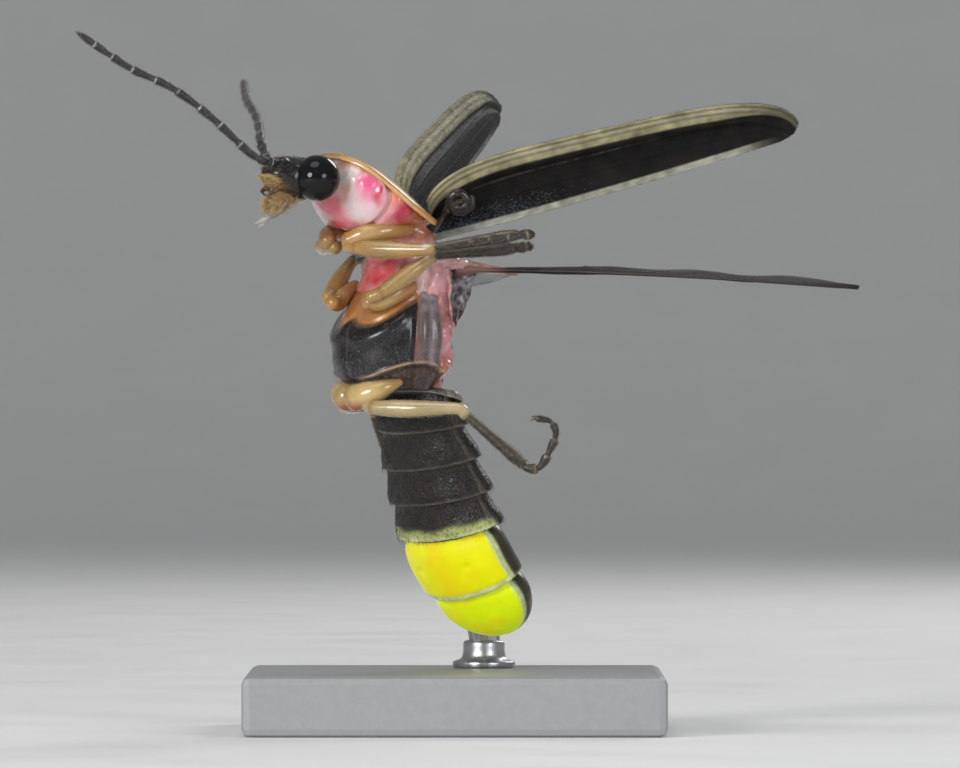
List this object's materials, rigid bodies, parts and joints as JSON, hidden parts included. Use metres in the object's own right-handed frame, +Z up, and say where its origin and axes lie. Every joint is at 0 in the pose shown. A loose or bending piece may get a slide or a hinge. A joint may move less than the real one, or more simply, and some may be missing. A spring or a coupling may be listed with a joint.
{
  "type": "firefly",
  "caption": "Life-size still model of a male firefly in flight, wing cases raised and lantern lit, held by a rod on a plain square base.",
  "frame": {"origin": "middle of the stand's flat underside, which rests on a surface", "axes": "+X to the right in the picture, +Y away from the viewer, +Z up out of the base"},
  "size_m": [0.0193, 0.0158, 0.0174],
  "materials": {
    "cuticle": "glossy black shell with short silver hairs",
    "eye": "polished black",
    "shield": "satin, cream edge, rosy disc with a black spot",
    "flesh": "moist satin, white to pink",
    "mouth": "satin, hairy",
    "antenna": "matte with fine pale hairs",
    "elytron": "near-black with a khaki-cream rim, velvety",
    "hindwing": "smoky clear membrane with darker veins",
    "lantern": "lit from within, yellow to yellow-green",
    "stand_base": "satin",
    "stand_rod": "brushed",
    "leg_tan": "glossy amber tan",
    "leg_dark": "satin with fine pale hairs"
  },
  "bodies": {
    "root": {"head": "cuticle", "metathorax": "cuticle", "abdomen": "cuticle", "eye_left": "eye", "eye_right": "eye", "pronotum": "shield", "prothorax": "flesh", "mesothorax": "flesh", "palp_left": "mouth", "palp_right": "mouth", "antenna_left": "antenna", "antenna_right": "antenna", "elytron_left": "elytron", "elytron_right": "elytron", "hindwing_left": "hindwing", "hindwing_right": "hindwing", "lantern_1": "lantern", "lantern_2": "lantern", "stand_base": "stand_base", "stand_rod": "stand_rod", "leg_fore_left_femur": "leg_tan", "leg_mid_left_femur": "leg_tan", "leg_hind_left_femur": "leg_tan", "leg_fore_right_femur": "leg_tan", "leg_mid_right_femur": "leg_tan", "leg_hind_right_femur": "leg_tan", "leg_fore_left_tibia": "leg_dark", "leg_fore_left_tarsus": "leg_dark", "leg_mid_left_tibia": "leg_dark", "leg_mid_left_tarsus": "leg_dark", "leg_hind_left_tibia": "leg_dark", "leg_hind_left_tarsus": "leg_dark", "leg_fore_right_tibia": "leg_dark", "leg_fore_right_tarsus": "leg_dark", "leg_mid_right_tibia": "leg_dark", "leg_mid_right_tarsus": "leg_dark", "leg_hind_right_tibia": "leg_dark", "leg_hind_right_tarsus": "leg_dark"}
  },
  "joints": []
}
